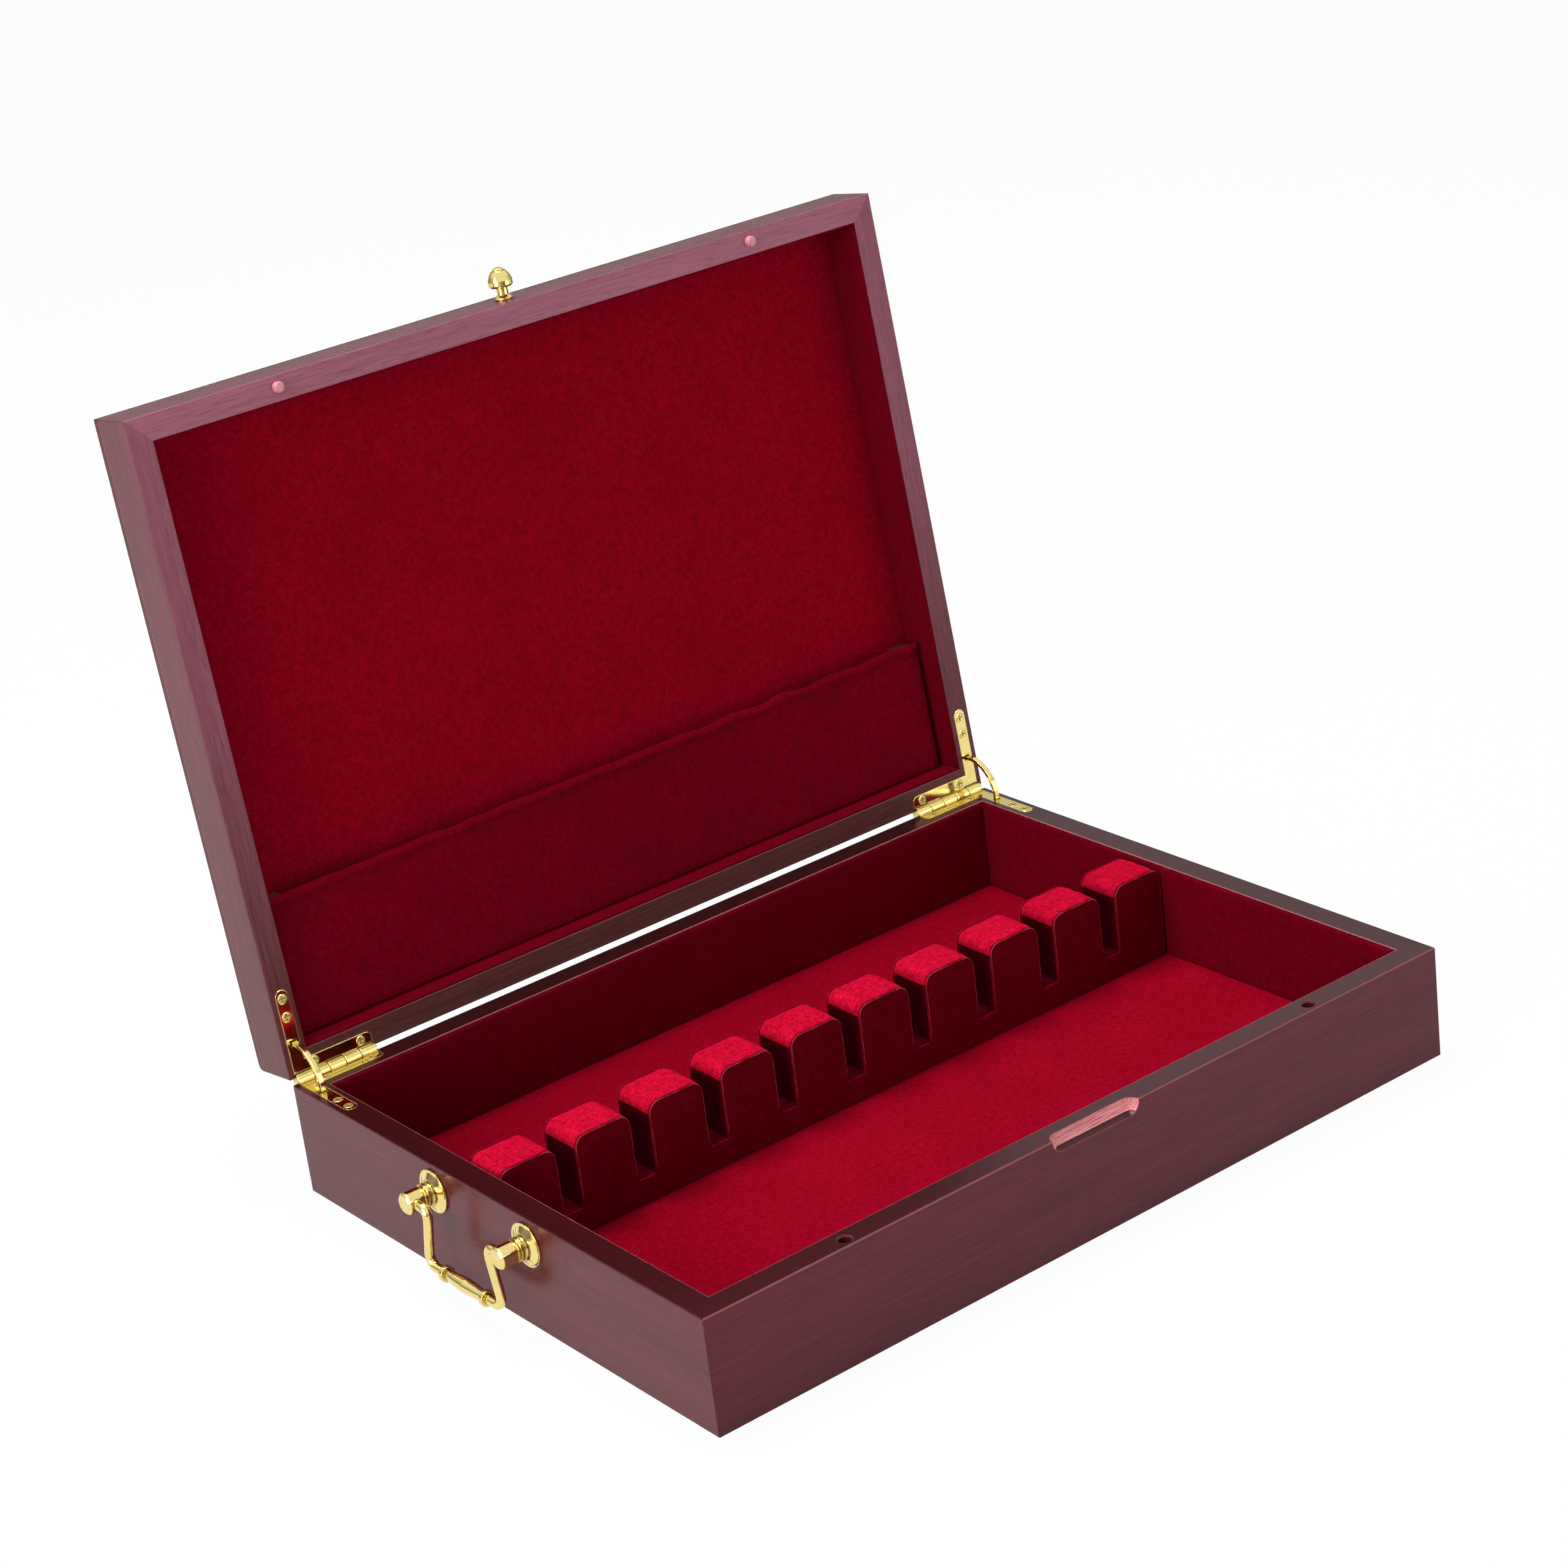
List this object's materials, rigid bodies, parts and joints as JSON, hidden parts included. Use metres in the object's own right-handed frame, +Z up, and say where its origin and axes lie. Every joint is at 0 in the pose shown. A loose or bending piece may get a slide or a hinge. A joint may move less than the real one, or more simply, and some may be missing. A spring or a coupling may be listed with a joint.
{
  "type": "fountain pen case",
  "caption": "Shallow hinged wooden case lined in velvet, with a slotted rack in the base, a pocket in the lid, brass quadrant hinges with stays, a knob and a side bail handle.",
  "frame": {"origin": "middle of the underside", "axes": "+X to the right, +Y to the back where the hinges are, +Z up"},
  "size_m": [0.3955, 0.3448, 0.3417],
  "materials": {
    "mahogany": "dark mahogany stain under satin lacquer",
    "velvet": "crimson velvet pile",
    "brass": "polished and lacquered",
    "core_wood": "plain sawn core under velvet",
    "peg_wood": "bare end grain, lightly stained"
  },
  "bodies": {
    "base": {"base_front_wall": "mahogany", "base_back_wall": "mahogany", "base_left_wall": "mahogany", "base_right_wall": "mahogany", "base_bottom_panel": "mahogany", "base_floor_lining": "velvet", "base_front_lining": "velvet", "base_back_lining": "velvet", "base_left_lining": "velvet", "base_right_lining": "velvet", "rack_core": "core_wood", "rack_front_facing": "velvet", "rack_back_facing": "velvet", "rack_top_cover": "velvet", "left_hinge_base_leaf": "brass", "right_hinge_base_leaf": "brass", "left_hinge_pin": "brass", "right_hinge_pin": "brass", "base_hinge_screws": "brass", "left_handle_rosettes": "brass", "left_handle_posts": "brass", "handle_screws": "brass"},
    "lid": {"lid_front_rail": "mahogany", "lid_back_rail": "mahogany", "lid_left_rail": "mahogany", "lid_right_rail": "mahogany", "lid_top_panel": "mahogany", "lid_top_lining": "velvet", "lid_front_lining": "velvet", "lid_back_lining": "velvet", "lid_left_lining": "velvet", "lid_right_lining": "velvet", "pocket_panel": "velvet", "pocket_bottom_batten": "core_wood", "pocket_left_batten": "core_wood", "pocket_right_batten": "core_wood", "left_hinge_lid_leaf": "brass", "right_hinge_lid_leaf": "brass", "lid_hinge_screws": "brass", "left_locating_peg": "peg_wood", "right_locating_peg": "peg_wood", "lid_knob": "brass", "knob_screw": "brass"},
    "left_stay": {"left_stay": "brass"},
    "right_stay": {"right_stay": "brass"},
    "left_bail": {"left_bail": "brass"}
  },
  "joints": [
    {"name": "lid_hinge", "type": "hinge", "parent": "base", "child": "lid", "pos_m": [0, 0.1417, 0.04985], "axis": [1, 0, 0], "range_deg": [0, 97.5]},
    {"name": "left_stay_turn", "type": "hinge", "parent": "base", "child": "left_stay", "pos_m": [0, 0.1417, 0.04985], "axis": [1, 0, 0], "range_deg": [0, 48.75]},
    {"name": "right_stay_turn", "type": "hinge", "parent": "base", "child": "right_stay", "pos_m": [0, 0.1417, 0.04985], "axis": [1, 0, 0], "range_deg": [0, 48.75]},
    {"name": "left_bail_swing", "type": "hinge", "parent": "base", "child": "left_bail", "pos_m": [-0.2015, 0.0044, 0.0378], "axis": [0, 1, 0], "range_deg": [-14, 180]}
  ],
  "couplings": [
    {"joint": "left_stay_turn", "follows": "lid_hinge", "ratio": 0.5},
    {"joint": "right_stay_turn", "follows": "lid_hinge", "ratio": 0.5}
  ]
}
